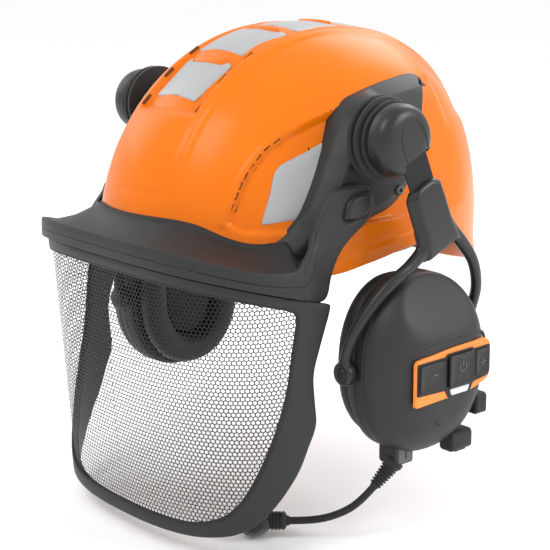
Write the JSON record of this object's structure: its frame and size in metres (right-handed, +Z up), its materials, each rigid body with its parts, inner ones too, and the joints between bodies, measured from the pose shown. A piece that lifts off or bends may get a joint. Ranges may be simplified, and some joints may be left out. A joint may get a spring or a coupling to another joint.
{
  "type": "forestry helmet",
  "caption": "Hard helmet with a lifting mesh visor, hinged ear muffs with controls, a boom microphone and an adjustable head harness.",
  "frame": {"origin": "middle of the head opening, level with the lower edge of the shell's sides", "axes": "+Z up towards the crown, -Y the way the wearer looks, +X the wearer's left"},
  "size_m": [0.3211, 0.3135, 0.3293],
  "materials": {
    "shell_orange": "satin gloss",
    "reflector_grey": "matte",
    "black_plastic": "fine texture",
    "soft_black": "matte",
    "mesh_black": "etched and painted",
    "strap_steel": "satin",
    "screw_steel": "brushed",
    "webbing_fabric": "woven",
    "cushion_skin": "soft foil",
    "foam_grey": "open foam",
    "panel_orange": "satin",
    "light_silver": "satin",
    "board_green": "lacquered",
    "battery_blue": "matte",
    "speaker_grey": "matte"
  },
  "bodies": {
    "helmet": {"shell": "shell_orange", "top_reflectors": "reflector_grey", "side_reflector_left": "reflector_grey", "side_reflector_right": "reflector_grey", "side_plate_left": "black_plastic", "side_plate_right": "black_plastic", "plate_screws": "screw_steel", "crown_webbing": "webbing_fabric", "webbing_clips": "black_plastic", "headband": "black_plastic", "sweatband": "cushion_skin", "ratchet_housing": "black_plastic", "nape_pad": "cushion_skin"},
    "knob": {"ratchet_knob": "black_plastic", "ratchet_pinion": "black_plastic"},
    "left_rack": {"rack_left": "black_plastic"},
    "right_rack": {"rack_right": "black_plastic"},
    "visor": {"visor_peak": "black_plastic", "peak_seal": "soft_black", "visor_frame": "black_plastic", "visor_screen": "mesh_black", "visor_arm_left": "black_plastic", "visor_arm_right": "black_plastic", "visor_pivot_pins": "screw_steel"},
    "left_release": {"visor_button_left": "black_plastic"},
    "right_release": {"visor_button_right": "black_plastic"},
    "minus": {"minus_button": "soft_black"},
    "power": {"power_button": "soft_black"},
    "plus": {"plus_button": "soft_black"},
    "left_swivel": {"muff_base_left": "black_plastic", "muff_cap_left": "black_plastic"},
    "left_strap": {"spring_strap_left": "strap_steel"},
    "left_yoke": {"yoke_left": "black_plastic"},
    "left_cup": {"cup_cover_left": "black_plastic", "cup_body_left": "black_plastic", "ear_cushion_left": "cushion_skin", "foam_insert_left": "foam_grey", "speaker_left": "speaker_grey", "control_panel": "panel_orange", "status_light": "light_silver", "circuit_board": "board_green", "battery": "battery_blue", "port_cover_bottom": "soft_black", "port_cover_rear": "soft_black", "boom_plug": "black_plastic", "boom_strain_relief": "soft_black", "mic_boom": "soft_black", "mic_collar": "soft_black", "mic_capsule": "speaker_grey", "mic_windscreen": "foam_grey"},
    "right_swivel": {"muff_base_right": "black_plastic", "muff_cap_right": "black_plastic"},
    "right_strap": {"spring_strap_right": "strap_steel"},
    "right_yoke": {"yoke_right": "black_plastic"},
    "right_cup": {"cup_cover_right": "black_plastic", "cup_body_right": "black_plastic", "ear_cushion_right": "cushion_skin", "foam_insert_right": "foam_grey", "speaker_right": "speaker_grey"}
  },
  "joints": [
    {"name": "visor_lift", "type": "hinge", "parent": "helmet", "child": "visor", "pos_m": [0, -0.045, 0.036], "axis": [-1, 0, 0], "range_deg": [0, 85]},
    {"name": "knob_turn", "type": "hinge", "parent": "helmet", "child": "knob", "pos_m": [0, 0.11, -0.008], "axis": [0, 1, 0], "range_deg": [-90, 90]},
    {"name": "left_rack_slide", "type": "hinge", "parent": "helmet", "child": "left_rack", "pos_m": [0, 0.024, -0.008], "axis": [0, 0, 1], "range_deg": [-6.2, 6.2]},
    {"name": "right_rack_slide", "type": "hinge", "parent": "helmet", "child": "right_rack", "pos_m": [0, 0.024, -0.008], "axis": [0, 0, 1], "range_deg": [-6.2, 6.2]},
    {"name": "left_release_press", "type": "slide", "parent": "visor", "child": "left_release", "axis": [-1, 0, 0], "range_m": [0, 0.002], "stiffness_N_per_m": 800},
    {"name": "left_muff_swing", "type": "hinge", "parent": "helmet", "child": "left_swivel", "pos_m": [0.12, -0.033, 0.078], "axis": [1, 0, 0], "range_deg": [-3, 12]},
    {"name": "left_muff_fold", "type": "hinge", "parent": "left_swivel", "child": "left_strap", "pos_m": [0.138, -0.0245, 0.066], "axis": [0, -0.9205, -0.3907], "range_deg": [-4, 20]},
    {"name": "left_muff_height", "type": "slide", "parent": "left_strap", "child": "left_yoke", "axis": [0, 0.3907, -0.9205], "range_m": [-0.002, 0.016]},
    {"name": "left_cup_tilt", "type": "hinge", "parent": "left_yoke", "child": "left_cup", "pos_m": [0.122, -0.012, -0.067], "axis": [0, -1, 0], "range_deg": [-5, 5]},
    {"name": "right_release_press", "type": "slide", "parent": "visor", "child": "right_release", "axis": [1, 0, 0], "range_m": [0, 0.002], "stiffness_N_per_m": 800},
    {"name": "right_muff_swing", "type": "hinge", "parent": "helmet", "child": "right_swivel", "pos_m": [-0.12, -0.033, 0.078], "axis": [1, 0, 0], "range_deg": [-3, 12]},
    {"name": "right_muff_fold", "type": "hinge", "parent": "right_swivel", "child": "right_strap", "pos_m": [-0.138, -0.0245, 0.066], "axis": [0, 0.9205, 0.3907], "range_deg": [-4, 20]},
    {"name": "right_muff_height", "type": "slide", "parent": "right_strap", "child": "right_yoke", "axis": [0, 0.3907, -0.9205], "range_m": [-0.002, 0.016]},
    {"name": "right_cup_tilt", "type": "hinge", "parent": "right_yoke", "child": "right_cup", "pos_m": [-0.122, -0.012, -0.067], "axis": [0, 1, 0], "range_deg": [-5, 5]},
    {"name": "minus_press", "type": "slide", "parent": "left_cup", "child": "minus", "axis": [-1, 0, 0], "range_m": [0, 0.0008], "stiffness_N_per_m": 600},
    {"name": "power_press", "type": "slide", "parent": "left_cup", "child": "power", "axis": [-1, 0, 0], "range_m": [0, 0.0008], "stiffness_N_per_m": 600},
    {"name": "plus_press", "type": "slide", "parent": "left_cup", "child": "plus", "axis": [-1, 0, 0], "range_m": [0, 0.0008], "stiffness_N_per_m": 600}
  ],
  "couplings": [
    {"joint": "left_rack_slide", "follows": "knob_turn", "ratio": -0.06709},
    {"joint": "right_rack_slide", "follows": "knob_turn", "ratio": 0.06709}
  ]
}
